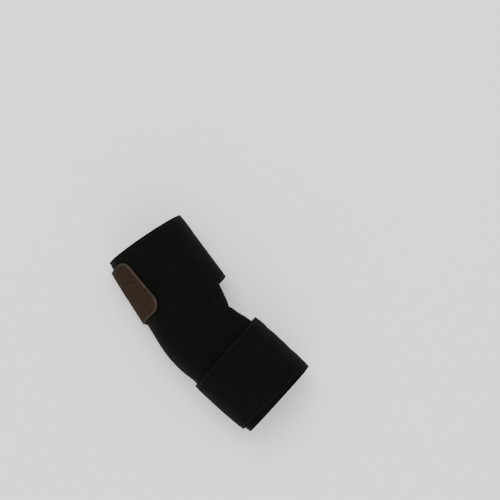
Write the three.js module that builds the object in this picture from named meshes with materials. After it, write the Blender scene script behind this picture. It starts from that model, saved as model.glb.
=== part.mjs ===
import * as THREE from "three";

// Adjustable elbow brace of black neoprene sheet, lying on its side with both straps closed.
// Millimetres, +Z up. The arm's axis lies level: the upper arm's end is at -X, the forearm's at +X,
// the crook of the elbow faces +Y and the elbow's point faces -Y.
// A place on the brace is a station along the arm's axis, in millimetres from the upper edge, and an
// angle round it, in degrees: 0 at the crook, 90 on top, 180 at the elbow's point, 270 underneath.

// Driving dimensions
const upperLength = 139.2; // upper edge to the corner of the bend
const forearmLength = 96.5; // corner of the bend to the lower edge
const bendAngle = 13.2; // degrees between upper arm and forearm
const bendRadius = 55; // of the axis through the bend
const armWidth = 100; // widest inside, crook to elbow point
const armHeight = 82; // highest inside, with the brace on its side
const panelThickness = 3; // neoprene sheet
const strapThickness = 3; // neoprene sheet
const tabThickness = 1.6; // hook tape on its backing
const layerGap = 0.3; // between pieces that lie on each other

// Bands
const upperBandLength = 85.5; // upper edge to the crook opening
const lowerBandLength = 82.5; // crook opening to the lower edge

// Edges of the panel at the crook, in degrees
const nearNotch = { upper: 39.5, corner: 48.6, lower: 21.5 };
const farNotch = { upper: 312, corner: 307, lower: 334 };
const notchCorner = 0.46; // share of the opening's length at which its sides bend
const nearSlant = 4.5; // how much further along the opening begins at nearNotch than at the crook
const slantEnd = 75; // degrees, past which the near side has no more of that slant
const upperStubEnd = -38; // the panel's end under the upper strap's root
const lowerStubEnd = 365; // the panel's end under the lower strap's root

// How far the straps' edges draw in by the free end
const upperOuterInset = 9.5; // at the edge away from the elbow
const upperInnerInset = 5.5; // at the edge nearer to the elbow
const lowerOuterInset = 9.6;
const lowerInnerInset = 3.5;

// Straps, root to free end, in degrees
const upperStrap = {
  root: -22,
  end: -168,
  outerInset: upperOuterInset,
  innerInset: upperInnerInset,
};
const lowerStrap = {
  root: -15,
  end: 219,
  outerInset: lowerOuterInset,
  innerInset: lowerInnerInset,
};

// Hook tabs
const tabWidth = 69;
const tabNarrowing = 3.5; // by the tip, on the edge nearer to the elbow
const tabCornerRadius = 13;
const tabLap = 11; // degrees of the tab that lie on the strap, where it is sewn on
const tabOverhang = 1; // degrees that it holds the strap's level past the strap's end
const tabStep = 9; // degrees in which it then steps down to the panel
const tabSlant = 6; // degrees that the tip's elbow side reaches further
const upperTabTip = -238.5; // degrees, at the tip's elbow side
const lowerTabTip = 290;

// Inside of the brace along the arm: shares of its length, of armWidth and of armHeight
const armSections = [
  { along: 0, width: 0.899, height: 0.97 },
  { along: 0.1, width: 0.924, height: 0.98 },
  { along: 0.36, width: 0.972, height: 1 },
  { along: 0.47, width: 1, height: 1 },
  { along: 0.55, width: 0.972, height: 0.99 },
  { along: 0.62, width: 0.904, height: 0.98 },
  { along: 0.7, width: 0.916, height: 0.97 },
  { along: 0.8, width: 0.915, height: 0.965 },
  { along: 1, width: 0.898, height: 0.95 },
];

// The underside is pressed flat by its own weight: shares of the section's half height
const flatBegins = 0.7;
const flatReached = 0.96;
const flatDepth = (flatBegins + flatReached) / 2;

// Fineness of the mesh
const columnAngle = 6; // degrees
const bandRows = 6;
const notchRows = 4; // each side of the notch's corner
const tabRows = 7;
const tabColumnAngle = 4.5; // degrees

const radians = THREE.MathUtils.degToRad;
const lerp = THREE.MathUtils.lerp;
const smoothstep = THREE.MathUtils.smoothstep;

// Axis of the arm: straight, round the bend, straight
const bendTangent = bendRadius * Math.tan(radians(bendAngle) / 2);
const bendLength = bendRadius * radians(bendAngle);
const bendStart = upperLength - bendTangent;
const bendEnd = bendStart + bendLength;
const braceLength = bendEnd + forearmLength - bendTangent;
const notchStart = upperBandLength;
const notchEnd = braceLength - lowerBandLength;

// The axis starts off the X axis by this angle, so that its two ends lie level in Y
const startHeading = -Math.atan2(
  forearmLength * Math.sin(radians(bendAngle)),
  upperLength + forearmLength * Math.cos(radians(bendAngle)),
);

function axisAt(station) {
  const before = Math.min(station, bendStart);
  const turned = THREE.MathUtils.clamp(station - bendStart, 0, bendLength) / bendRadius;
  const after = Math.max(station - bendEnd, 0);
  const heading = startHeading + turned;
  return {
    x:
      before * Math.cos(startHeading) +
      bendRadius * (Math.sin(heading) - Math.sin(startHeading)) +
      after * Math.cos(heading),
    y:
      before * Math.sin(startHeading) +
      bendRadius * (Math.cos(startHeading) - Math.cos(heading)) +
      after * Math.sin(heading),
    heading,
  };
}

// A smooth curve through one column of armSections
function sectionShare(station, column) {
  const along = station / braceLength;
  const last = armSections.length - 1;
  let k = 0;
  while (k < last - 1 && armSections[k + 1].along <= along) k += 1;
  const slope = (n) => {
    const a = armSections[Math.max(n - 1, 0)];
    const b = armSections[Math.min(n + 1, last)];
    return (b[column] - a[column]) / (b.along - a.along);
  };
  const from = armSections[k];
  const to = armSections[k + 1];
  const span = to.along - from.along;
  const t = (along - from.along) / span;
  return (
    (1 + 2 * t) * (1 - t) ** 2 * from[column] +
    t * (1 - t) ** 2 * span * slope(k) +
    t * t * (3 - 2 * t) * to[column] +
    t * t * (t - 1) * span * slope(k + 1)
  );
}

// Height of the arm form's underside: the upper band rests on its strap, the lower one on its tab
function undersideAt(station) {
  const underUpper = panelThickness + layerGap + strapThickness;
  const underLower = panelThickness + layerGap + tabThickness;
  return lerp(underUpper, underLower, smoothstep(station, notchStart, notchEnd));
}

function halfWidthAt(station) {
  return (armWidth / 2) * sectionShare(station, "width");
}

// A point as seen from above, at a distance from the axis towards the crook
function planPoint(station, side) {
  const { x, y, heading } = axisAt(station);
  return new THREE.Vector2(x - side * Math.sin(heading), y + side * Math.cos(heading));
}

// A point at a distance outside the arm form, square to it
function wrapPoint(station, angle, outside) {
  const halfWidth = halfWidthAt(station);
  const halfHeight = (armHeight / (1 + flatDepth)) * sectionShare(station, "height");
  const cos = Math.cos(radians(angle));
  const sin = Math.sin(radians(angle));
  const pressed = THREE.MathUtils.clamp((-sin - flatBegins) / (flatReached - flatBegins), 0, 1);
  const eased = flatBegins + (flatReached - flatBegins) * (pressed - pressed ** 2 / 2);
  const rise = pressed > 0 ? -eased : sin;
  const across = halfHeight * (1 - pressed) * cos;
  const up = halfWidth * sin;
  const length = Math.hypot(across, up);
  const side = halfWidth * cos + (outside * across) / length;
  const height = undersideAt(station) + halfHeight * (rise + flatDepth) + (outside * up) / length;
  return [...planPoint(station, side), height];
}

// A closed sheet over a grid. place(column, row) gives its station, angle, and inner and outer faces
function sheetGeometry(columns, rows, place, holdsCell = () => true) {
  const positions = [];
  const triangles = [];
  const numbers = new Map();
  const turned = place(columns, 0).angle < place(0, 0).angle;
  const vertex = (column, row, face) => {
    const key = `${column},${row},${face}`;
    if (!numbers.has(key)) {
      const spot = place(column, row);
      numbers.set(key, positions.length / 3);
      positions.push(...wrapPoint(spot.station, spot.angle, spot[face]));
    }
    return numbers.get(key);
  };
  const quad = (a, b, c, d) => {
    if (turned) triangles.push(a, c, b, a, d, c);
    else triangles.push(a, b, c, a, c, d);
  };
  const filled = (column, row) =>
    column >= 0 && row >= 0 && column < columns && row < rows && holdsCell(column, row);
  const wall = (from, to) => {
    const outer = [to, from].map((spot) => vertex(...spot, "outer"));
    const inner = [from, to].map((spot) => vertex(...spot, "inner"));
    quad(...outer, ...inner);
  };
  for (let c = 0; c < columns; c += 1) {
    for (let r = 0; r < rows; r += 1) {
      if (!filled(c, r)) continue;
      const ring = [[c, r], [c + 1, r], [c + 1, r + 1], [c, r + 1]];
      quad(...ring.map((spot) => vertex(...spot, "outer")));
      quad(...[...ring].reverse().map((spot) => vertex(...spot, "inner")));
      if (!filled(c, r - 1)) wall(ring[0], ring[1]);
      if (!filled(c + 1, r)) wall(ring[1], ring[2]);
      if (!filled(c, r + 1)) wall(ring[2], ring[3]);
      if (!filled(c - 1, r)) wall(ring[3], ring[0]);
    }
  }
  const geometry = new THREE.BufferGeometry();
  geometry.setAttribute("position", new THREE.Float32BufferAttribute(positions, 3));
  geometry.setIndex(triangles);
  geometry.computeVertexNormals();
  return geometry;
}

function columnsFor(degrees, perColumn = columnAngle) {
  return Math.max(1, Math.round(Math.abs(degrees) / perColumn));
}

// Angle of one side of the crook opening at a station. It changes evenly up to the side's corner, and
// from there the side is straight as seen from above, also where the arm bends.
function notchAngle(station, notch) {
  const cornerStation = lerp(notchStart, notchEnd, notchCorner);
  const at = THREE.MathUtils.clamp(station, notchStart, notchEnd);
  if (at < cornerStation) {
    return lerp(notch.upper, notch.corner, (at - notchStart) / (cornerStation - notchStart));
  }
  const sideOf = (place, angle) => halfWidthAt(place) * Math.cos(radians(angle));
  const corner = planPoint(cornerStation, sideOf(cornerStation, notch.corner));
  const line = planPoint(notchEnd, sideOf(notchEnd, notch.lower)).sub(corner);
  const axis = planPoint(at, 0);
  const outward = planPoint(at, 1).sub(axis);
  const side = corner.sub(axis).cross(line) / outward.cross(line);
  const turn = THREE.MathUtils.radToDeg(Math.acos(side / halfWidthAt(at)));
  return notch.corner < 180 ? turn : 360 - turn;
}

// Station on the panel with the near side's slant, which fades out all round the notch's upper end
function slanted(station, angle) {
  const cornerStation = lerp(notchStart, notchEnd, notchCorner);
  const across = Math.min(angle / nearNotch.upper, (slantEnd - angle) / (slantEnd - nearNotch.upper));
  const along = Math.min(
    station / notchStart,
    (cornerStation - station) / (cornerStation - notchStart),
  );
  return station + nearSlant * Math.max(across, 0) * Math.max(along, 0);
}

// The panel covers both sides and the elbow's point. Each of its ends crosses the crook on one band
// as a stub, which carries that band's strap.
function elbowPanel() {
  const nearStubColumns = columnsFor(nearNotch.upper - upperStubEnd);
  const coreColumns = columnsFor(farNotch.corner - nearNotch.corner);
  const farStubColumns = columnsFor(lowerStubEnd - farNotch.lower);
  const cornerStation = lerp(notchStart, notchEnd, notchCorner);
  const stations = [
    [0, notchStart, bandRows],
    [notchStart, cornerStation, notchRows],
    [cornerStation, notchEnd, notchRows],
    [notchEnd, braceLength, bandRows],
  ].flatMap(([from, to, count]) =>
    Array.from({ length: count }, (_, n) => lerp(from, to, n / count)),
  );
  stations.push(braceLength);
  const rows = stations.length - 1;
  const columns = nearStubColumns + coreColumns + farStubColumns;
  const coreEnd = nearStubColumns + coreColumns;
  const place = (column, row) => {
    const station = stations[row];
    const near = notchAngle(station, nearNotch);
    const far = notchAngle(station, farNotch);
    let angle = lerp(near, far, (column - nearStubColumns) / coreColumns);
    if (column < nearStubColumns) angle = lerp(upperStubEnd, near, column / nearStubColumns);
    if (column > coreEnd) angle = lerp(far, lowerStubEnd, (column - coreEnd) / farStubColumns);
    return { station: slanted(station, angle), angle, inner: 0, outer: panelThickness };
  };
  const holdsCell = (column, row) => {
    if (column < nearStubColumns) return row < bandRows;
    if (column >= coreEnd) return row >= rows - bandRows;
    return true;
  };
  return sheetGeometry(columns, rows, place, holdsCell);
}

// A band's edge away from the elbow and the way from there to the elbow
const upperBand = { edge: 0, towardElbow: 1, length: upperBandLength };
const lowerBand = { edge: braceLength, towardElbow: -1, length: lowerBandLength };

const strapInner = panelThickness + layerGap;
const strapOuter = strapInner + strapThickness;

// A strap lies over the panel and draws in towards its free end
function strapGeometry(strap, band) {
  const columns = columnsFor(strap.end - strap.root);
  const place = (column, row) => {
    const share = column / columns;
    const outerEdge = strap.outerInset * share;
    const innerEdge = band.length - strap.innerInset * share;
    return {
      station: band.edge + band.towardElbow * lerp(outerEdge, innerEdge, row / bandRows),
      angle: lerp(strap.root, strap.end, share),
      inner: strapInner,
      outer: strapOuter,
    };
  };
  return facingOut(sheetGeometry(columns, bandRows, place), band);
}

// A hook tab is lapped on the strap's free end, steps down past it and lies on the panel
function tabGeometry(strap, tip, band) {
  const way = Math.sign(strap.end - strap.root);
  const root = strap.end - way * tabLap;
  const stepStart = strap.end + way * tabOverhang;
  const lapColumns = columnsFor(stepStart - root, tabColumnAngle);
  const freeColumns = columnsFor(tip - stepStart, tabColumnAngle);
  const columns = lapColumns + freeColumns;
  const outerEdge = strap.outerInset;
  const radius = armWidth / 2 + panelThickness;
  const place = (column, row) => {
    const across = row / tabRows;
    const reach = tip - way * tabSlant * (1 - across);
    const angle =
      column < lapColumns
        ? lerp(root, stepStart, column / lapColumns)
        : lerp(stepStart, reach, (column - lapColumns) / freeColumns);
    const share = (angle - root) / (tip - root);
    const toTip = radius * radians(Math.abs(reach - angle));
    const past = Math.max(tabCornerRadius - toTip, 0);
    const corner = tabCornerRadius - Math.sqrt(tabCornerRadius ** 2 - past ** 2);
    const innerEdge = outerEdge + tabWidth - tabNarrowing * share;
    const lifted = 1 - smoothstep(way * (angle - stepStart), 0, tabStep);
    const inner = strapInner + lifted * (strapThickness + layerGap);
    return {
      station: band.edge + band.towardElbow * lerp(outerEdge + corner, innerEdge - corner, across),
      angle,
      inner,
      outer: inner + tabThickness,
    };
  };
  return facingOut(sheetGeometry(columns, tabRows, place), band);
}

// A grid whose rows run towards the upper arm is turned over
function facingOut(geometry, band) {
  if (band.towardElbow > 0) return geometry;
  const index = geometry.getIndex().array;
  for (let i = 0; i < index.length; i += 3) {
    [index[i + 1], index[i + 2]] = [index[i + 2], index[i + 1]];
  }
  geometry.computeVertexNormals();
  return geometry;
}

const neoprene = new THREE.MeshStandardMaterial({ color: 0x12110f, roughness: 0.92, metalness: 0 });
const hookBacking = new THREE.MeshStandardMaterial({ color: 0x36291e, roughness: 0.85, metalness: 0 });

const brace = new THREE.Group();

function add(name, geometry, material) {
  const mesh = new THREE.Mesh(geometry, material);
  mesh.name = name;
  brace.add(mesh);
}

add("elbow_panel", elbowPanel(), neoprene);
add("upper_strap", strapGeometry(upperStrap, upperBand), neoprene);
add("lower_strap", strapGeometry(lowerStrap, lowerBand), neoprene);
add("upper_hook_tab", tabGeometry(upperStrap, upperTabTip, upperBand), hookBacking);
add("lower_hook_tab", tabGeometry(lowerStrap, lowerTabTip, lowerBand), hookBacking);

// The origin is under the middle of the brace, on the surface that it lies on
const box = new THREE.Box3().setFromObject(brace);
const middle = box.getCenter(new THREE.Vector3());
for (const mesh of brace.children) mesh.position.set(-middle.x, -middle.y, -box.min.z);

export default brace;
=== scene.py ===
import math

import bmesh
import bpy
from mathutils import Matrix, Vector, noise


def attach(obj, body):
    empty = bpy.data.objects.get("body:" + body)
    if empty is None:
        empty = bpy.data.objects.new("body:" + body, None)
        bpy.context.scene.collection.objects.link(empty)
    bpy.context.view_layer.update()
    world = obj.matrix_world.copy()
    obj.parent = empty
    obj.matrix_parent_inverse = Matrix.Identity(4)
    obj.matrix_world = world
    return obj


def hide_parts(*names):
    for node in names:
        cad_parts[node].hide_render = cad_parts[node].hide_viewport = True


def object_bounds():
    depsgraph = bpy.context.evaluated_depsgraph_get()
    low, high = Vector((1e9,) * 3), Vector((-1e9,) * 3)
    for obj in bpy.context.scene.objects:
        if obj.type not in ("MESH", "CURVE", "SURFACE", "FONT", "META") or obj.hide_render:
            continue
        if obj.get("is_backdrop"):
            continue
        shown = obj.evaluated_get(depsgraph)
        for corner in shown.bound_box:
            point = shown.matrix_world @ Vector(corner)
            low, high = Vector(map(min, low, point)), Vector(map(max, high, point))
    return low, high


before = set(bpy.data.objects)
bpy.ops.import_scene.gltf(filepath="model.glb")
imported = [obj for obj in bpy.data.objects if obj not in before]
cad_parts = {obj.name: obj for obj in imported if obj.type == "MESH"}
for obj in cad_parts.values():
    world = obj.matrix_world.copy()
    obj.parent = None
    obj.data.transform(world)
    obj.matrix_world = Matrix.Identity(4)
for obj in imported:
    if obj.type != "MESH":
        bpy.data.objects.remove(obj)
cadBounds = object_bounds()
print("frame loaded")

mm = 0.001

# The brace is wrapped on one bent form, in millimetres. A place on it is a station along the form's
# axis, from the upper edge, and an angle round it: 0 at the crook, 90 on top, 180 on the outside of
# the bend, 270 underneath.
wornForm = {
    "upperLength": 139.2,  # upper edge to the corner of the bend
    "lowerLength": 96.5,  # corner of the bend to the lower edge
    "bendAngle": 13.2,
    "bendRadius": 55,
    "width": 100,  # widest inside, across the bend
    "height": 82,
    "sections": [  # share of the length, of the width, of the height
        (0, 0.899, 0.97),
        (0.1, 0.924, 0.98),
        (0.36, 0.972, 1),
        (0.47, 1, 1),
        (0.55, 0.972, 0.99),
        (0.62, 0.904, 0.98),
        (0.7, 0.916, 0.97),
        (0.8, 0.915, 0.965),
        (1, 0.898, 0.95),
    ],
    "flatBegins": 0.7,  # the underside is pressed flat, shares of the half height
    "flatReached": 0.96,
    "flatSmooth": 0.45,  # how far into the flat the softness fades out
    "middle": (118.089, -6.539),  # where on the form the frame's origin lies
    "perDegree": 0.825,  # flat millimetres a degree, on the form itself
}
layers = {  # thickness of each sheet, and the gap between two that lie on each other
    "panel": 3,
    "strap": 3,
    "tab": 1.6,
    "gap": 0.3,
}
bandLengths = {
    "upper": 85.5,
    "lower": 82.5,
}

# Heights over the form: the straps lie on the panel, and so do the tabs past the straps' ends
strapInner = layers["panel"] + layers["gap"]
strapOuter = strapInner + layers["strap"]
tabOuter = strapInner + layers["tab"]
panelMiddle = layers["panel"] / 2
strapMiddle = (strapInner + strapOuter) / 2
tabMiddle = strapInner + layers["tab"] / 2

bend = math.radians(wornForm["bendAngle"])
bendTangent = wornForm["bendRadius"] * math.tan(bend / 2)
bendLength = wornForm["bendRadius"] * bend
bendStart = wornForm["upperLength"] - bendTangent
bendEnd = bendStart + bendLength
braceLength = bendEnd + wornForm["lowerLength"] - bendTangent
notchStart = bandLengths["upper"]
notchEnd = braceLength - bandLengths["lower"]
startHeading = -math.atan2(
    wornForm["lowerLength"] * math.sin(bend),
    wornForm["upperLength"] + wornForm["lowerLength"] * math.cos(bend),
)

# Soft unevenness that all the layers share, and the creases that the bend and the straps pull
softness = {
    "wave": 0.55,
    "waveLength": 34,
    "wavesRound": 1.5,
    "fineWave": 0.3,  # share of the wave's height
    "finer": 2.3,  # times as short
    "creaseReach": (80, 60),  # round and along, past which a crease isn't felt
    "bankHeight": 0.45,  # the cloth rises beside a crease, as a share of its depth
    "bankPlace": 1.9,  # half widths from its middle
    "fade": 0.8,
    "creases": [  # from a place to a place, half width and depth in millimetres
        {"start": (115, 51), "end": (104, 92), "width": 3.6, "depth": 0.8},
        {"start": (119, 54), "end": (131, 98), "width": 3.2, "depth": 0.6},
        {"start": (115, 306), "end": (106, 262), "width": 3.6, "depth": 0.8},
        {"start": (93, 44), "end": (97, 78), "width": 3.0, "depth": 0.4},
        {"start": (30, 116), "end": (22, 62), "width": 5.0, "depth": 0.45},
        {"start": (62, 118), "end": (70, 66), "width": 5.5, "depth": 0.5},
        {"start": (172, -8), "end": (178, 44), "width": 4.5, "depth": 0.45},
        {"start": (206, -6), "end": (200, 52), "width": 5.0, "depth": 0.4},
        {"start": (30, -26), "end": (36, -70), "width": 4.5, "depth": 0.45},
        {"start": (60, -26), "end": (52, -66), "width": 4.5, "depth": 0.4},
        {"start": (131, 168), "end": (140, 122), "width": 6.0, "depth": 0.5},
        {"start": (131, 192), "end": (142, 226), "width": 6.0, "depth": 0.5},
    ],
}


def clamp(x, low, high):
    return min(max(x, low), high)


def smoothstep(low, high, x):
    t = clamp((x - low) / (high - low), 0, 1)
    return t * t * (3 - 2 * t)


def lerp(a, b, share):
    return a + (b - a) * share


def axisAt(station):
    before = min(station, bendStart)
    turned = clamp(station - bendStart, 0, bendLength) / wornForm["bendRadius"]
    after = max(station - bendEnd, 0)
    heading = startHeading + turned
    radius = wornForm["bendRadius"]
    x = before * math.cos(startHeading) + after * math.cos(heading)
    x += radius * (math.sin(heading) - math.sin(startHeading))
    y = before * math.sin(startHeading) + after * math.sin(heading)
    y += radius * (math.cos(startHeading) - math.cos(heading))
    return x, y, heading


def sectionShare(station, column):  # a smooth curve through one column of the sections
    rows = wornForm["sections"]
    along = station / braceLength
    last = len(rows) - 1
    k = 0
    while k < last - 1 and rows[k + 1][0] <= along:
        k += 1

    def slope(n):
        a, b = rows[max(n - 1, 0)], rows[min(n + 1, last)]
        return (b[column] - a[column]) / (b[0] - a[0])

    span = rows[k + 1][0] - rows[k][0]
    t = (along - rows[k][0]) / span
    return (
        (1 + 2 * t) * (1 - t) ** 2 * rows[k][column]
        + t * (1 - t) ** 2 * span * slope(k)
        + t * t * (3 - 2 * t) * rows[k + 1][column]
        + t * t * (t - 1) * span * slope(k + 1)
    )


def halfWidthAt(station):
    return wornForm["width"] / 2 * sectionShare(station, 1)


def planPoint(station, side):  # seen from above, at a distance from the axis towards the crook
    x, y, heading = axisAt(station)
    return Vector((x - side * math.sin(heading), y + side * math.cos(heading)))


def flatPlace(station, angle, layer=panelMiddle):  # on the flat sheet, cut at a layer's height
    return Vector((angle * (wornForm["perDegree"] + math.radians(layer)), station))


flatDegree = flatPlace(0, 1).x
wholeTurn = flatPlace(0, 360).x
creaseLines = [
    (flatPlace(*crease["start"]), flatPlace(*crease["end"]), crease["width"], crease["depth"])
    for crease in softness["creases"]
]


def nearestOn(point, a, b):  # distance to a line's stretch, and how far along it
    line = b - a
    along = clamp((point - a).dot(line) / line.length_squared, 0, 1)
    return (point - a - line * along).length, along


def softOffset(station, angle):
    turn = math.radians(angle)
    wave, around = softness["wave"], softness["wavesRound"]
    reach = softness["creaseReach"]
    place = Vector((station / softness["waveLength"], around * math.cos(turn), around * math.sin(turn)))
    offset = wave * noise.noise(place)
    offset += softness["fineWave"] * wave * noise.noise(place * softness["finer"])
    for start, end, width, depth in creaseLines:
        point = flatPlace(station, angle)
        point.x += round((start.x - point.x) / wholeTurn) * wholeTurn
        if abs(point.x - start.x) > reach[0] or abs(point.y - start.y) > reach[1]:
            continue
        distance, along = nearestOn(point, start, end)
        across = distance / width
        bank = math.exp(-((across - softness["bankPlace"]) ** 2))
        fold = math.exp(-across * across) - softness["bankHeight"] * bank
        offset -= depth * (1 - along) ** softness["fade"] * fold
    return offset


def wrapPoint(station, angle, outside):  # a point at a distance outside the form, in metres
    halfWidth = halfWidthAt(station)
    begins, reached = wornForm["flatBegins"], wornForm["flatReached"]
    flatDepth = (begins + reached) / 2
    halfHeight = wornForm["height"] / (1 + flatDepth) * sectionShare(station, 2)
    cos, sin = math.cos(math.radians(angle)), math.sin(math.radians(angle))
    pressed = clamp((-sin - begins) / (reached - begins), 0, 1)
    rise = sin
    if pressed > 0:
        rise = -(begins + (reached - begins) * (pressed - pressed * pressed / 2))
    outside += (1 - smoothstep(0, wornForm["flatSmooth"], pressed)) * softOffset(station, angle)
    across = halfHeight * (1 - pressed) * cos
    up = halfWidth * sin
    length = math.hypot(across, up)
    side = halfWidth * cos + outside * across / length
    # The upper band rests on its strap, the lower one on its tab
    under = lerp(strapOuter, tabOuter, smoothstep(notchStart, notchEnd, station))
    height = under + halfHeight * (rise + flatDepth) + outside * up / length
    x, y = planPoint(station, side) - Vector(wornForm["middle"])
    return Vector((x, y, height)) * mm


# How each cloth is cut and sewn: the seam's groove, the rim's roundness, and how far it thins
neopreneCut = {
    "seamInset": 3.2,
    "seamWidth": 0.85,
    "seamDepth": 0.5,
    "edgeThin": 0.25,
    "round": 0.6,
    "selvedgeAndHighlight": 0,
}
tapeCut = {
    "seamInset": 2.4,
    "seamWidth": 0.6,
    "seamDepth": 0.3,
    "edgeThin": 0.1,
    "round": 0.35,
    # width of the tape's lighter border: its selvedge tone with a painted highlight along the edge
    "selvedgeAndHighlight": 1.3,
}
sheetGrid = {
    "rimLines": (0, 0.2, 0.6, 1.25),  # grid lines at the rim, in its radii
    "seamLines": (-2, -1, 0, 1, 2),  # and at the seam, in its widths
    "thinReach": 1.6,
    "innerShare": 0.4,  # the inner face gives way less than the outer one
}


# Shares of a length at which a grid's lines lie, close together where it has a rim and a seam
def spaced(length, step, cut, first=True, last=True):
    fine = [cut["round"] * n for n in sheetGrid["rimLines"]]
    fine += [cut["seamInset"] + cut["seamWidth"] * n for n in sheetGrid["seamLines"]]
    fine.append(2 * cut["seamInset"])
    start = fine if first else [0]
    end = [length - d for d in reversed(fine)] if last else [length]
    count = max(1, round((end[0] - start[-1]) / step))
    between = [lerp(start[-1], end[0], n / count) for n in range(1, count)]
    return [d / length for d in start + between + end]


def sidesOf(outline):
    corners = [flatPlace(*corner) for corner in outline]
    return list(zip(corners, corners[1:] + corners[:1]))


def edgeDistance(station, angle, sides):  # shortest, to a piece's cut edge, in flat millimetres
    point = flatPlace(station, angle)
    return min(nearestOn(point, a, b)[0] for a, b in sides)


def meshPiece(name, bm):
    for face in bm.faces:
        face.smooth = True
    mesh = bpy.data.meshes.new(name)
    bm.to_mesh(mesh)
    bm.free()
    piece = bpy.data.objects.new(name, mesh)
    bpy.context.collection.objects.link(piece)
    return piece


# A sheet of square cells with two faces, one cell apart. The cut rim gets the second material
def cellSheet(columns, rows, holdsCell):
    bm = bmesh.new()
    bmesh.ops.create_grid(bm, x_segments=columns, y_segments=rows, size=0.5)
    bmesh.ops.scale(bm, vec=(columns, rows, 1), verts=bm.verts)
    bmesh.ops.translate(bm, vec=(columns / 2, rows / 2, 0), verts=bm.verts)
    if holdsCell:
        middles = [(face, face.calc_center_median()) for face in bm.faces]
        cutOut = [face for face, at in middles if not holdsCell(math.floor(at.x), math.floor(at.y))]
        bmesh.ops.delete(bm, geom=cutOut, context="FACES")
    made = bmesh.ops.extrude_face_region(bm, geom=bm.faces[:], use_keep_orig=True)
    risen = [v for v in made["geom"] if isinstance(v, bmesh.types.BMVert)]
    bmesh.ops.translate(bm, vec=(0, 0, 1), verts=risen)
    bm.normal_update()
    for face in bm.faces:
        face.material_index = 1 if abs(face.normal.z) < 0.5 else 0
    return bm


# How far outside the form a sheet's face lies, with its groove, and rounded and thinner at its rim
def faceHeight(spot, cut, isOuter):
    d = spot["edge"]
    groove = cut["seamDepth"] * math.exp(-(((d - cut["seamInset"]) / cut["seamWidth"]) ** 2))
    thin = cut["edgeThin"] * (1 - smoothstep(0, sheetGrid["thinReach"], d)) + groove
    past = max(cut["round"] - d, 0)
    rounded = cut["round"] - math.sqrt(cut["round"] ** 2 - past**2)
    if isOuter:
        return spot["outer"] - thin - rounded
    return spot["inner"] + sheetGrid["innerShare"] * thin + rounded


# A sheet wrapped on the form, with its flat cut as its UV map. place(column, row) gives station,
# angle, inner and outer height and the distance to the cut edge
def wrapSheet(name, columns, rows, place, cut, holdsCell=None):
    bm = cellSheet(columns, rows, holdsCell)
    flatMap = bm.loops.layers.uv.new("flat")
    spots = {}
    for v in bm.verts:
        key = (round(v.co.x), round(v.co.y))
        if key not in spots:
            spots[key] = place(*key)
    for face in bm.faces:
        toEdge = 0
        for loop in face.loops:
            spot = spots[round(loop.vert.co.x), round(loop.vert.co.y)]
            flat = flatPlace(spot["station"], spot["angle"])
            loop[flatMap].uv = (flat.x * mm, flat.y * mm)
            toEdge = max(toEdge, spot["edge"])
        # Faces near the tape's edge take the rim material: a lighter border, partly a painted highlight
        if toEdge < cut["selvedgeAndHighlight"]:
            face.material_index = 1
    for v in bm.verts:
        spot = spots[round(v.co.x), round(v.co.y)]
        v.co = wrapPoint(spot["station"], spot["angle"], faceHeight(spot, cut, v.co.z > 0.5))
    bmesh.ops.recalc_face_normals(bm, faces=bm.faces)
    return meshPiece(name, bm)


# The panel covers both sides and the outside of the bend, and ends in a stub under each strap's root
panel = {
    "nearNotch": (39.5, 48.6, 21.5),  # degrees at the opening's upper end, corner and lower end
    "farNotch": (312, 307, 334),
    "notchCorner": 0.46,  # share of the opening's length
    "nearSlant": 4.5,  # how much further along the opening begins there than at the crook
    "slantEnd": 75,
    "upperStubEnd": -38,
    "lowerStubEnd": 365,
    "lipFlare": 0.7,
    "flareReach": 5,  # from the lip
    "flareEase": 8,  # from the opening's ends
    "sideParts": 12,
    "step": 2.1,
}
notchCorner = lerp(notchStart, notchEnd, panel["notchCorner"])


# An opening's side is straight as seen from above, past its corner
def notchAngle(station, notch):
    upper, corner, lower = notch
    at = clamp(station, notchStart, notchEnd)
    if at < notchCorner:
        return lerp(upper, corner, (at - notchStart) / (notchCorner - notchStart))
    start, end = (
        planPoint(place, halfWidthAt(place) * math.cos(math.radians(angle)))
        for place, angle in ((notchCorner, corner), (notchEnd, lower))
    )
    axis = planPoint(at, 0)
    side = (start - axis).cross(end - start) / (planPoint(at, 1) - axis).cross(end - start)
    turn = math.degrees(math.acos(side / halfWidthAt(at)))
    return turn if corner < 180 else 360 - turn


def slanted(station, angle):
    upper = panel["nearNotch"][0]
    across = min(angle / upper, (panel["slantEnd"] - angle) / (panel["slantEnd"] - upper))
    along = min(station / notchStart, (notchCorner - station) / (notchCorner - notchStart))
    return station + panel["nearSlant"] * max(across, 0) * max(along, 0)


# The panel's cut edge, as places, from the stub under the upper strap's root round to it again
sideParts = panel["sideParts"]
lowerSide = [lerp(notchCorner, notchEnd, n / sideParts) for n in range(sideParts + 1)]
panelOutline = [
    (0, panel["upperStubEnd"]),
    (0, panel["farNotch"][0]),
    (notchStart, panel["farNotch"][0]),
    *[(station, notchAngle(station, panel["farNotch"])) for station in lowerSide],
    (notchEnd, panel["lowerStubEnd"]),
    (braceLength, panel["lowerStubEnd"]),
    (braceLength, panel["nearNotch"][2]),
    *[(station, notchAngle(station, panel["nearNotch"])) for station in reversed(lowerSide)],
    (notchStart + panel["nearSlant"], panel["nearNotch"][0]),
    (notchStart, 0),
    (notchStart, panel["upperStubEnd"]),
]


# The opening's lips stand off a little
def flareAt(station, angle):
    near = notchAngle(station, panel["nearNotch"])
    far = notchAngle(station, panel["farNotch"])
    ease = panel["flareEase"]
    inNotch = smoothstep(notchStart, notchStart + ease, station)
    inNotch *= smoothstep(notchEnd, notchEnd - ease, station)
    toLip = min(angle - near, far - angle) * flatDegree
    return panel["lipFlare"] * inNotch * math.exp(-max(toLip, 0) / panel["flareReach"])


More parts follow.
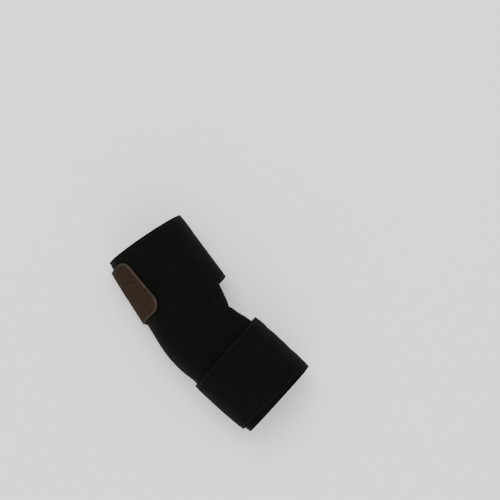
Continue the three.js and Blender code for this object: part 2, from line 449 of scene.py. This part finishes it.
def panelStations():
    stations = []
    breaks = [0, notchStart, notchCorner, notchEnd, braceLength]
    for a, b in zip(breaks, breaks[1:]):
        shares = spaced(b - a, panel["step"], neopreneCut, a != notchCorner, b != notchCorner)
        stations += [lerp(a, b, share) for share in shares[:-1]]
    return stations + [braceLength]


def makePanel():
    stations = panelStations()
    firstNotchRow, lastNotchRow = stations.index(notchStart), stations.index(notchEnd)
    spans = (
        panel["nearNotch"][0] - panel["upperStubEnd"],
        panel["farNotch"][1] - panel["nearNotch"][1],
        panel["lowerStubEnd"] - panel["farNotch"][2],
    )
    nearShares, coreShares, farShares = (
        spaced(span * flatDegree, panel["step"], neopreneCut) for span in spans
    )
    nearColumns = len(nearShares) - 1
    coreEnd = nearColumns + len(coreShares) - 1
    columns = coreEnd + len(farShares) - 1
    sides = sidesOf(panelOutline)

    def place(column, row):
        near = notchAngle(stations[row], panel["nearNotch"])
        far = notchAngle(stations[row], panel["farNotch"])
        if column < nearColumns:
            angle = lerp(panel["upperStubEnd"], near, nearShares[column])
        elif column > coreEnd:
            angle = lerp(far, panel["lowerStubEnd"], farShares[column - coreEnd])
        else:
            angle = lerp(near, far, coreShares[column - nearColumns])
        station = slanted(stations[row], angle)
        flare = flareAt(station, angle)
        return {
            "station": station,
            "angle": angle,
            "inner": flare,
            "outer": layers["panel"] + flare,
            "edge": edgeDistance(station, angle, sides),
        }

    def holdsCell(column, row):
        if column < nearColumns:
            return row < firstNotchRow
        if column >= coreEnd:
            return row >= lastNotchRow
        return True

    return wrapSheet("elbowPanel", columns, len(stations) - 1, place, neopreneCut, holdsCell)


elbowPanel = makePanel()
print("panel made", len(elbowPanel.data.polygons), "faces")

# Each band's strap and tab: the band's edge away from the bend, the way from there to the bend, where
# the strap is sewn on and ends, in degrees, and how far its edges draw in by the free end
upperBand = {
    "edge": 0,
    "towardBend": 1,
    "length": bandLengths["upper"],
    "root": -22,
    "end": -168,
    "outerInset": 9.5,
    "innerInset": 5.5,
    "tabTip": -238.5,
}
lowerBand = {
    "edge": braceLength,
    "towardBend": -1,
    "length": bandLengths["lower"],
    "root": -15,
    "end": 219,
    "outerInset": 9.6,
    "innerInset": 3.5,
    "tabTip": 290,
}
strapStep = 2.1


def strapPlace(band, share, across):  # station and angle on a strap, from its root to its free end
    outerEdge = band["outerInset"] * share
    innerEdge = band["length"] - band["innerInset"] * share
    station = band["edge"] + band["towardBend"] * lerp(outerEdge, innerEdge, across)
    return station, lerp(band["root"], band["end"], share)


def strapOutline(band):
    return [strapPlace(band, *corner) for corner in ((0, 0), (1, 0), (1, 1), (0, 1))]


def strapLength(band):
    return abs(band["end"] - band["root"]) * flatDegree


def makeStrap(name, band):
    columnShares = spaced(strapLength(band), strapStep, neopreneCut)
    rowShares = spaced(band["length"], strapStep, neopreneCut)
    sides = sidesOf(strapOutline(band))

    def place(column, row):
        station, angle = strapPlace(band, columnShares[column], rowShares[row])
        return {
            "station": station,
            "angle": angle,
            "inner": strapInner,
            "outer": strapOuter,
            "edge": edgeDistance(station, angle, sides),
        }

    return wrapSheet(name, len(columnShares) - 1, len(rowShares) - 1, place, neopreneCut)


upperStrap = makeStrap("upperStrap", upperBand)
lowerStrap = makeStrap("lowerStrap", lowerBand)
print("straps made")

# Hook tabs, lapped on the straps' free ends and stepping down to the panel
tab = {
    "width": 69,
    "narrowing": 3.5,  # by the tip, on the edge nearer to the bend
    "cornerRadius": 13,
    "lap": 11,  # degrees that lie on the strap
    "overhang": 1,
    "stepDown": 9,
    "slant": 6,  # degrees that the tip reaches further on that side
    "outlineParts": 24,
    "step": 1.9,
}


def tabLines(band):  # the way round, where the lap begins and where the step down does
    way = math.copysign(1, band["end"] - band["root"])
    root = band["end"] - way * tab["lap"]
    stepStart = band["end"] + way * tab["overhang"]
    return way, root, stepStart


def lapShareOf(band):
    _, root, stepStart = tabLines(band)
    return (stepStart - root) / (band["tabTip"] - root)


def tabPlace(band, share, across):  # station and angle on a tab, from its root to its tip
    way, root, stepStart = tabLines(band)
    reach = band["tabTip"] - way * tab["slant"] * (1 - across)
    lapShare = lapShareOf(band)
    if share < lapShare:
        angle = lerp(root, stepStart, share / lapShare)
    else:
        angle = lerp(stepStart, reach, (share - lapShare) / (1 - lapShare))
    narrowed = (angle - root) / (band["tabTip"] - root)
    toTip = (wornForm["width"] / 2 + layers["panel"]) * math.radians(abs(reach - angle))
    past = max(tab["cornerRadius"] - toTip, 0)
    corner = tab["cornerRadius"] - math.sqrt(tab["cornerRadius"] ** 2 - past**2)
    outerEdge = band["outerInset"]
    innerEdge = outerEdge + tab["width"] - tab["narrowing"] * narrowed
    fromEdge = lerp(outerEdge + corner, innerEdge - corner, across)
    return band["edge"] + band["towardBend"] * fromEdge, angle


def tabInner(band, angle):
    way, _, stepStart = tabLines(band)
    lifted = 1 - smoothstep(0, tab["stepDown"], way * (angle - stepStart))
    return strapInner + lifted * (layers["strap"] + layers["gap"])


def tabOutline(band):
    shares = [n / tab["outlineParts"] for n in range(tab["outlineParts"] + 1)]
    sides = [(share, 0) for share in shares] + [(1, share) for share in shares[1:]]
    sides += [(share, 1) for share in reversed(shares[:-1])]
    return [tabPlace(band, *side) for side in sides]


def makeTab(name, band):
    length = abs(band["tabTip"] - tabLines(band)[1]) * flatDegree
    columnShares = spaced(length, tab["step"], tapeCut)
    rowShares = spaced(tab["width"], tab["step"], tapeCut)
    sides = sidesOf(tabOutline(band))

    def place(column, row):
        station, angle = tabPlace(band, columnShares[column], rowShares[row])
        inner = tabInner(band, angle)
        return {
            "station": station,
            "angle": angle,
            "inner": inner,
            "outer": inner + layers["tab"],
            "edge": edgeDistance(station, angle, sides),
        }

    return wrapSheet(name, len(columnShares) - 1, len(rowShares) - 1, place, tapeCut)


upperTab = makeTab("upperHookTab", upperBand)
lowerTab = makeTab("lowerHookTab", lowerBand)
print("hook tabs made")

# Stitches: short rounded lengths of thread, sunk in the seam's groove or lying on a lap
neopreneStitch = {
    "length": 2.7,
    "pitch": 3.6,
    "thickness": 0.42,
    "sunk": 0.32,
    "rowSunk": 0.08,
    "zigzagSunk": 0.08,
}
tapeStitch = {
    "length": 2.2,
    "pitch": 2.9,
    "thickness": 0.36,
    "sunk": 0.24,
    "rowSunk": 0.1,
    "zigzagSunk": 0.08,
}
threadMesh = {
    "sides": 6,
    "rings": 5,
    "together": 24,  # stitches made at a time, because each one walks all that is there
    "pathStep": 1.2,
    "sharpest": 0.5,  # limits how far a sharp corner moves the seam
}


def stitchAt(start, end, above, thickness):  # a rounded stitch from point to point
    along = (end - start).normalized()
    side = (above - start).cross(along).normalized()
    turn = Matrix((along, side, along.cross(side))).transposed().to_4x4()
    size = ((end - start).length / 2, thickness / 2 * mm, thickness / 2 * mm, 1)
    return Matrix.Translation((start + end) / 2) @ turn @ Matrix.Diagonal(size)


def stitchesAlong(places, thread, sunk):  # places are station, angle and outside, close together
    points = [wrapPoint(station, angle, outside - sunk) for station, angle, outside in places]
    above = [wrapPoint(station, angle, outside + 1) for station, angle, outside in places]
    half = thread["length"] / 2 * mm
    stitches = []
    run = 0.0
    due = thread["pitch"] / 2 * mm
    for n in range(len(points) - 1):
        line = points[n + 1] - points[n]
        while due <= run + line.length:
            share = (due - run) / line.length
            centre = points[n].lerp(points[n + 1], share)
            along = line.normalized() * half
            up = above[n].lerp(above[n + 1], share) - centre
            start, end = centre - along, centre + along
            stitches.append(stitchAt(start, end, start + up, thread["thickness"]))
            due += thread["pitch"] * mm
        run += line.length
    return stitches


def zigzagAlong(places, thread):  # a stitch from each place to the next
    stitches = []
    for a, b in zip(places, places[1:]):
        start, end = (wrapPoint(p[0], p[1], p[2] - thread["zigzagSunk"]) for p in (a, b))
        above = wrapPoint(a[0], a[1], a[2] + 1)
        stitches.append(stitchAt(start, end, above, thread["thickness"]))
    return stitches


def threadPiece(name, stitches):
    whole = bmesh.new()
    sides, rings, together = (threadMesh[key] for key in ("sides", "rings", "together"))
    for n in range(0, len(stitches), together):
        bm = bmesh.new()
        for matrix in stitches[n : n + together]:
            bmesh.ops.create_uvsphere(bm, u_segments=sides, v_segments=rings, radius=1, matrix=matrix)
        few = bpy.data.meshes.new(name)
        bm.to_mesh(few)
        bm.free()
        whole.from_mesh(few)
        bpy.data.meshes.remove(few)
    return meshPiece(name, whole)


# The seam runs inside its corners by inset, on the left of the way they go round
def seamPath(corners, outsideOf, inset, closed=False):
    flats = [flatPlace(*corner) for corner in corners]
    moved = []
    count = len(flats)
    for n, corner in enumerate(flats):
        before = flats[n - 1] if n or closed else None
        after = flats[(n + 1) % count] if n < count - 1 or closed else None
        normals = []
        for a, b in ((before, corner), (corner, after)):
            if a is not None and b is not None:
                line = (b - a).normalized()
                normals.append(Vector((-line.y, line.x)))
        normal = sum(normals, Vector((0, 0)))
        normal.normalize()
        moved.append(corner + normal * inset / max(normal.dot(normals[0]), threadMesh["sharpest"]))
    if closed:
        moved.append(moved[0])
    path = []
    for a, b in zip(moved, moved[1:]):
        steps = max(1, round((b - a).length / threadMesh["pathStep"]))
        path += [a.lerp(b, k / steps) for k in range(steps)]
    path.append(moved[-1])
    places = [(p.y, p.x / flatDegree) for p in path]
    return [(station, angle, outsideOf(station, angle)) for station, angle in places]


def makePanelSeams():
    def outside(station, angle):
        return layers["panel"] + flareAt(station, angle)

    path = seamPath(panelOutline, outside, neopreneCut["seamInset"], closed=True)
    return threadPiece("panelSeams", stitchesAlong(path, neopreneStitch, neopreneStitch["sunk"]))


lapSeam = {
    "rows": (3.2, 9.5),  # from the strap's edge
    "width": 3.2,
    "pitch": 1.9,
    "ends": (0.05, 0.95),  # shares of the width that it crosses
    "rowParts": 60,
    "edgeEnds": (0.012, 0.985),  # shares of the strap between which its long edges are sewn
}


def zigzagCount(width):
    low, high = lapSeam["ends"]
    return round(width * (high - low) / lapSeam["pitch"])


def insetPlace(band, inset, across):  # on a strap, at a distance from its root's edge
    station, angle = strapPlace(band, inset / strapLength(band), across)
    return station, angle, strapOuter


# A strap is sewn along its edges, and its root on the panel with a zigzag between two rows
def makeStrapSeams(name, band):
    way = band["towardBend"] * math.copysign(1, band["end"] - band["root"])
    stitches = []
    for across, turned in ((0, 1), (1, -1)):
        ends = [strapPlace(band, share, across) for share in lapSeam["edgeEnds"]]
        inset = neopreneCut["seamInset"] * turned * way
        path = seamPath(ends, lambda station, angle: strapOuter, inset)
        stitches += stitchesAlong(path, neopreneStitch, neopreneStitch["sunk"])
    count = lapSeam["rowParts"]
    for inset in lapSeam["rows"]:
        path = [insetPlace(band, inset, lerp(*lapSeam["ends"], n / count)) for n in range(count + 1)]
        stitches += stitchesAlong(path, neopreneStitch, neopreneStitch["rowSunk"])
    count = zigzagCount(band["length"])
    swing = lapSeam["width"] / 2
    middle = sum(lapSeam["rows"]) / 2
    path = [
        insetPlace(band, middle + (swing if n % 2 else -swing), lerp(*lapSeam["ends"], n / count))
        for n in range(count + 1)
    ]
    stitches += zigzagAlong(path, neopreneStitch)
    return threadPiece(name, stitches)


panelSeams = makePanelSeams()
upperStrapSeams = makeStrapSeams("upperStrapSeams", upperBand)
lowerStrapSeams = makeStrapSeams("lowerStrapSeams", lowerBand)
print("neoprene seams made")

tabSeam = {
    "row": 0.74,  # shares of the lap
    "zigzag": (0.36, 0.62),
    "rowEnds": (0.04, 0.96),
    "rowParts": 40,
}


# A tab is sewn round its edge, and on the strap with a zigzag before another row
def makeTabSeams(name, band):
    lapShare = lapShareOf(band)

    def outside(station, angle):
        return tabInner(band, angle) + layers["tab"]

    def across(shareAt, ends, count):
        path = [tabPlace(band, shareAt(n), lerp(*ends, n / count)) for n in range(count + 1)]
        return [(station, angle, outside(station, angle)) for station, angle in path]

    inset = tapeCut["seamInset"] * band["towardBend"] * tabLines(band)[0]
    path = seamPath(tabOutline(band), outside, inset, closed=True)
    stitches = stitchesAlong(path, tapeStitch, tapeStitch["sunk"])
    path = across(lambda n: lapShare * tabSeam["row"], tabSeam["rowEnds"], tabSeam["rowParts"])
    stitches += stitchesAlong(path, tapeStitch, tapeStitch["rowSunk"])
    count = zigzagCount(tab["width"])
    path = across(lambda n: lapShare * tabSeam["zigzag"][n % 2], lapSeam["ends"], count)
    stitches += zigzagAlong(path, tapeStitch)
    return threadPiece(name, stitches)


upperTabSeams = makeTabSeams("upperTabSeams", upperBand)
lowerTabSeams = makeTabSeams("lowerTabSeams", lowerBand)
print("tab seams made")


# Materials read places on the object, or on the flat cut sheet by its UV map. In their dictionaries
# a noise is scale, detail and roughness, and a bump is strength and distance
def newMaterial(name, look):
    material = bpy.data.materials.new(name)
    material.use_nodes = True
    tree = material.node_tree
    shader = next(n for n in tree.nodes if n.type == "BSDF_PRINCIPLED")
    shader.inputs["Roughness"].default_value = look["roughness"]
    shader.inputs["Specular IOR Level"].default_value = look["specular"]
    return material, tree, shader


def objectPlace(tree):
    return tree.nodes.new("ShaderNodeTexCoord").outputs["Object"]


def flatPlaceParts(tree):  # round and along on the flat sheet, in metres
    uv = tree.nodes.new("ShaderNodeUVMap")
    uv.uv_map = "flat"
    parts = tree.nodes.new("ShaderNodeSeparateXYZ")
    tree.links.new(uv.outputs[0], parts.inputs[0])
    return parts.outputs[0], parts.outputs[1]


def mathNode(tree, operation, *values):
    node = tree.nodes.new("ShaderNodeMath")
    node.operation = operation
    for socket, value in zip(node.inputs, values):
        if isinstance(value, (int, float)):
            socket.default_value = value
        else:
            tree.links.new(value, socket)
    return node.outputs[0]


def waveNode(tree, place, perLength):  # a sine, perLength times in a unit of the place
    return mathNode(tree, "SINE", mathNode(tree, "MULTIPLY", place, 2 * math.pi * perLength))


def blendNode(tree, first, firstShare, second, secondShare):
    parts = [mathNode(tree, "MULTIPLY", *part) for part in ((first, firstShare), (second, secondShare))]
    return mathNode(tree, "ADD", *parts)


def noiseNode(tree, place, scale, detail, roughness):
    node = tree.nodes.new("ShaderNodeTexNoise")
    node.inputs["Scale"].default_value = scale
    node.inputs["Detail"].default_value = detail
    node.inputs["Roughness"].default_value = roughness
    tree.links.new(place, node.inputs["Vector"])
    return node.outputs[0]


def rampNode(tree, factor, ends, colours):  # from one colour to the other between the two ends
    node = tree.nodes.new("ShaderNodeValToRGB")
    for element, position, colour in zip(node.color_ramp.elements, ends, colours):
        element.position = position
        element.color = (*colour, 1)
    tree.links.new(factor, node.inputs["Fac"])
    return node.outputs["Color"]


def bumpNode(tree, height, strength, distance, normal=None):
    node = tree.nodes.new("ShaderNodeBump")
    node.inputs["Strength"].default_value = strength
    node.inputs["Distance"].default_value = distance
    tree.links.new(height, node.inputs["Height"])
    if normal is not None:
        tree.links.new(normal, node.inputs["Normal"])
    return node.outputs[0]


jersey = {
    "colours": ((0.0017, 0.0017, 0.0013), (0.0038, 0.0038, 0.0031)),
    "colourEnds": (0.35, 0.65),
    "wale": 0.8,  # millimetres from one column of knit loops to the next
    "course": 0.64,  # and from one row to the next
    "loopShare": 0.5,
    "knitBump": (0.35, 0.00012),
    "fuzz": (1400, 3, 0.6),
    "fuzzBump": (0.4, 0.0002),
    "uneven": (190, 3, 0.5),
    "unevenBump": (0.35, 0.0006),
    "broad": (42, 5, 0.6),
    "shades": (0.4, 0.6),  # of the broad patches and of the fuzz
    "roughness": 0.86,
    "specular": 0.03,
    "sheen": 0.01,
    "sheenRoughness": 0.45,
}


def makeJersey():
    material, tree, shader = newMaterial("blackJersey", jersey)
    place = objectPlace(tree)
    around, along = flatPlaceParts(tree)
    across = mathNode(tree, "MULTIPLY", around, 1 / (jersey["wale"] * mm))
    zigzag = mathNode(tree, "PINGPONG", across, 0.5)
    ridge = waveNode(tree, zigzag, 1)
    rows = mathNode(tree, "MULTIPLY", along, 1 / (jersey["course"] * mm))
    loops = waveNode(tree, mathNode(tree, "ADD", rows, zigzag), 1)
    knit = blendNode(tree, mathNode(tree, "ABSOLUTE", ridge), 1, loops, jersey["loopShare"])
    fuzz = noiseNode(tree, place, *jersey["fuzz"])
    broad = noiseNode(tree, place, *jersey["broad"])
    uneven = noiseNode(tree, place, *jersey["uneven"])
    knitBump = bumpNode(tree, knit, *jersey["knitBump"])
    fuzzBump = bumpNode(tree, fuzz, *jersey["fuzzBump"], knitBump)
    unevenBump = bumpNode(tree, uneven, *jersey["unevenBump"], fuzzBump)
    tree.links.new(unevenBump, shader.inputs["Normal"])
    shade = blendNode(tree, broad, jersey["shades"][0], fuzz, jersey["shades"][1])
    colour = rampNode(tree, shade, jersey["colourEnds"], jersey["colours"])
    tree.links.new(colour, shader.inputs["Base Color"])
    shader.inputs["Sheen Weight"].default_value = jersey["sheen"]
    shader.inputs["Sheen Roughness"].default_value = jersey["sheenRoughness"]
    return material


foam = {
    "colours": ((0.008, 0.008, 0.0077), (0.016, 0.0157, 0.015)),
    "colourEnds": (0.3, 0.7),
    "pores": 2600,
    "poreBump": (0.5, 0.0002),
    "grain": (500, 4, 0.6),
    "roughness": 0.93,
    "specular": 0.05,
}


def makeFoam():
    material, tree, shader = newMaterial("cutFoam", foam)
    place = objectPlace(tree)
    pores = tree.nodes.new("ShaderNodeTexVoronoi")
    pores.inputs["Scale"].default_value = foam["pores"]
    tree.links.new(place, pores.inputs["Vector"])
    poreBump = bumpNode(tree, pores.outputs["Distance"], *foam["poreBump"])
    tree.links.new(poreBump, shader.inputs["Normal"])
    grain = noiseNode(tree, place, *foam["grain"])
    colour = rampNode(tree, grain, foam["colourEnds"], foam["colours"])
    tree.links.new(colour, shader.inputs["Base Color"])
    return material


tape = {
    "red": ((0.0095, 0.0048, 0.0032), (0.040, 0.0212, 0.0155)),  # two yarns, each dark and light
    "olive": ((0.0082, 0.006, 0.003), (0.035, 0.0248, 0.0138)),
    "colourEnds": (0.38, 0.62),
    "yarnEnds": (0.45, 0.55),
    "rib": 1.4,  # millimetres from one rib of the weave to the next
    "weft": 0.9,
    "weave": (0.7, 0.3),  # how much the ribs and the weft stand out
    "weaveBump": (0.7, 0.0003),
    "weaveShade": 0.05,
    "streak": (3.4, 1.3),  # millimetres along and across the ribs
    "mottle": (1, 4, 0.7),
    "yarn": (0.55, 3, 0.6),
    "fuzz": (1200, 4, 0.6),
    "fuzzBump": (0.5, 0.0003),
    "roughness": 0.88,
    "specular": 0.03,
}


def makeTape():
    material, tree, shader = newMaterial("brownTape", tape)
    places = flatPlaceParts(tree)
    ribs = waveNode(tree, places[1], 1 / (tape["rib"] * mm))
    weft = waveNode(tree, places[0], 1 / (tape["weft"] * mm))
    weave = blendNode(tree, ribs, tape["weave"][0], weft, tape["weave"][1])
    streaked = tree.nodes.new("ShaderNodeCombineXYZ")
    for place, size, socket in zip(places, tape["streak"], streaked.inputs):
        tree.links.new(mathNode(tree, "MULTIPLY", place, 1 / (size * mm)), socket)
    fuzz = noiseNode(tree, objectPlace(tree), *tape["fuzz"])
    mottle = noiseNode(tree, streaked.outputs[0], *tape["mottle"])
    yarn = noiseNode(tree, streaked.outputs[0], *tape["yarn"])
    weaveBump = bumpNode(tree, weave, *tape["weaveBump"])
    tree.links.new(bumpNode(tree, fuzz, *tape["fuzzBump"], weaveBump), shader.inputs["Normal"])
    shade = blendNode(tree, mottle, 1, weave, tape["weaveShade"])
    mix = tree.nodes.new("ShaderNodeMix")
    mix.data_type = "RGBA"
    factor, first, second = (mix.inputs[n] for n in (0, 6, 7))  # the sockets for colours
    tree.links.new(rampNode(tree, yarn, tape["yarnEnds"], ((0, 0, 0), (1, 1, 1))), factor)
    for colours, socket in ((tape["red"], first), (tape["olive"], second)):
        tree.links.new(rampNode(tree, shade, tape["colourEnds"], colours), socket)
    tree.links.new(mix.outputs[2], shader.inputs["Base Color"])
    return material


# The tape's rim and border: selvedge tone, lightened as a painted highlight of the edge
selvedgeAndHighlight = {
    "colour": (0.045, 0.036, 0.028),
    "fibres": (1500, 3, 0.6),
    "bump": (0.5, 0.0002),
    "roughness": 0.88,
    "specular": 0.03,
}


def makeTapeEdge():
    material, tree, shader = newMaterial("tapeEdge", selvedgeAndHighlight)
    fibres = noiseNode(tree, objectPlace(tree), *selvedgeAndHighlight["fibres"])
    tree.links.new(bumpNode(tree, fibres, *selvedgeAndHighlight["bump"]), shader.inputs["Normal"])
    shader.inputs["Base Color"].default_value = (*selvedgeAndHighlight["colour"], 1)
    return material


thread = {
    "black": ((0.006, 0.006, 0.006), (0.013, 0.013, 0.0125)),
    "brown": ((0.02, 0.012, 0.009), (0.045, 0.03, 0.022)),
    "colourEnds": (0.3, 0.7),
    "twist": (2500, 2, 0.5),
    "bump": (0.4, 0.0001),
    "roughness": 0.6,
    "specular": 0.4,
}


def makeThread(colour):
    material, tree, shader = newMaterial(colour + "Thread", thread)
    twist = noiseNode(tree, objectPlace(tree), *thread["twist"])
    tree.links.new(bumpNode(tree, twist, *thread["bump"]), shader.inputs["Normal"])
    shade = rampNode(tree, twist, thread["colourEnds"], thread[colour])
    tree.links.new(shade, shader.inputs["Base Color"])
    return material


# The first material is for a sheet's faces, the second for its rim; on the tape the second is a lighter
# border, its selvedge tone with a painted highlight of the edge
neoprene = (makeJersey(), makeFoam())
hookTape = (makeTape(), makeTapeEdge())
blackThread = (makeThread("black"),)
brownThread = (makeThread("brown"),)
for pieces, materials in (
    ((elbowPanel, upperStrap, lowerStrap), neoprene),
    ((upperTab, lowerTab), hookTape),
    ((panelSeams, upperStrapSeams, lowerStrapSeams), blackThread),
    ((upperTabSeams, lowerTabSeams), brownThread),
):
    for piece in pieces:
        for material in materials:
            piece.data.materials.append(material)
print("materials made")


# Each sheet's cut, flat, in metres
def cutArea(outline, layer):
    flats = [flatPlace(*corner, layer) for corner in outline]
    pairs = zip(flats, flats[1:] + flats[:1])
    return abs(sum(a.x * b.y - b.x * a.y for a, b in pairs)) / 2 * mm * mm


def cutSize(outline, layer):
    flats = [flatPlace(*corner, layer) for corner in outline]
    across = [p.x for p in flats]
    along = [p.y for p in flats]
    return ((max(across) - min(across)) * mm, (max(along) - min(along)) * mm)


# What each sheet stands for, with its seams, its slot, its cut edge and the height it is cut at
sheets = {
    "elbow_panel": (elbowPanel, panelSeams, "neoprene", panelOutline, panelMiddle),
    "upper_strap": (upperStrap, upperStrapSeams, "neoprene", strapOutline(upperBand), strapMiddle),
    "lower_strap": (lowerStrap, lowerStrapSeams, "neoprene", strapOutline(lowerBand), strapMiddle),
    "upper_hook_tab": (upperTab, upperTabSeams, "hook_tape", tabOutline(upperBand), tabMiddle),
    "lower_hook_tab": (lowerTab, lowerTabSeams, "hook_tape", tabOutline(lowerBand), tabMiddle),
}
for node, (piece, seams, slot, outline, layer) in sheets.items():
    for each in (piece, seams):
        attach(each, "root")
    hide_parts(node)
    size, area = cutSize(outline, layer), cutArea(outline, layer)
    print(piece.name, "cut from", [round(x, 4) for x in size], "area", round(area, 5))

stageFloor = {
    "halfSide": 4,
    "colour": (0.82, 0.82, 0.81),
    "below": 0.0002,  # just under the brace, so that their faces don't meet
    "roughness": 0.9,
    "specular": 0.5,
}
bm = bmesh.new()
bmesh.ops.create_grid(bm, x_segments=1, y_segments=1, size=stageFloor["halfSide"])
floor = meshPiece("floor", bm)
floorMaterial, _, floorShader = newMaterial("paleFloor", stageFloor)
floorShader.inputs["Base Color"].default_value = (*stageFloor["colour"], 1)
floor.data.materials.append(floorMaterial)
floor.location.z = -stageFloor["below"]
floor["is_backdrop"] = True

# Soft studio light
lamps = {
    "key": {"at": (-0.6, 0.3, 1.9), "size": 1.2, "power": 36},
    "fill": {"at": (0.9, -0.8, 1.2), "size": 1.8, "power": 16},
    "rim": {"at": (0.3, 1.6, 0.9), "size": 1.2, "power": 4},
}
lampsAim = Vector((0, 0, 0.04))
skyStrength = 1.0
for name, look in lamps.items():
    light = bpy.data.lights.new(name, "AREA")
    light.size = look["size"]
    light.energy = look["power"]
    lamp = bpy.data.objects.new(name, light)
    lamp.location = look["at"]
    lamp.rotation_euler = (lampsAim - lamp.location).to_track_quat("-Z", "Y").to_euler()
    bpy.context.collection.objects.link(lamp)
world = bpy.data.worlds.new("studio")
world.use_nodes = True
background = next(n for n in world.node_tree.nodes if n.type == "BACKGROUND")
background.inputs["Color"].default_value = (1, 1, 1, 1)
background.inputs["Strength"].default_value = skyStrength
bpy.context.scene.world = world

# Camera: from above, square on the plane in which the brace bends
view = {
    "roll": 50.15,  # degrees from the picture's right to the brace's length
    "under": (0.075, 0.0),  # the point that it is straight above
    "distance": 2.4,
    "plane": 0.046,
    "perPixel": 0.001117,
    "origin": (207.8, 323.9),  # where the brace's origin shows in the picture
    "pixels": 500,
    "sensor": 36,
    "clipEnd": 20,
}
roll = math.radians(view["roll"])
right = Vector((math.cos(roll), math.sin(roll), 0))
upward = Vector((-math.sin(roll), math.cos(roll), 0))
offset = Vector([view["pixels"] / 2 - place for place in view["origin"]])
aim = (right * offset.x - upward * offset.y) * view["perPixel"] + Vector((0, 0, view["plane"]))
cameraData = bpy.data.cameras.new("camera")
camera = bpy.data.objects.new("camera", cameraData)
bpy.context.collection.objects.link(camera)
camera.location = Vector((*view["under"], view["plane"] + view["distance"]))
back = (camera.location - aim).normalized()
level = upward.cross(back).normalized()
camera.rotation_euler = Matrix((level, back.cross(level), back)).transposed().to_euler()
pictureWidth = view["pixels"] * view["perPixel"]
cameraData.sensor_width = view["sensor"]
cameraData.lens = view["sensor"] * (camera.location - aim).length / pictureWidth
cameraData.clip_end = view["clipEnd"]
bpy.context.scene.camera = camera
print("light and camera set")

bounds = [[list(corner) for corner in box] for box in (cadBounds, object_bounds())]
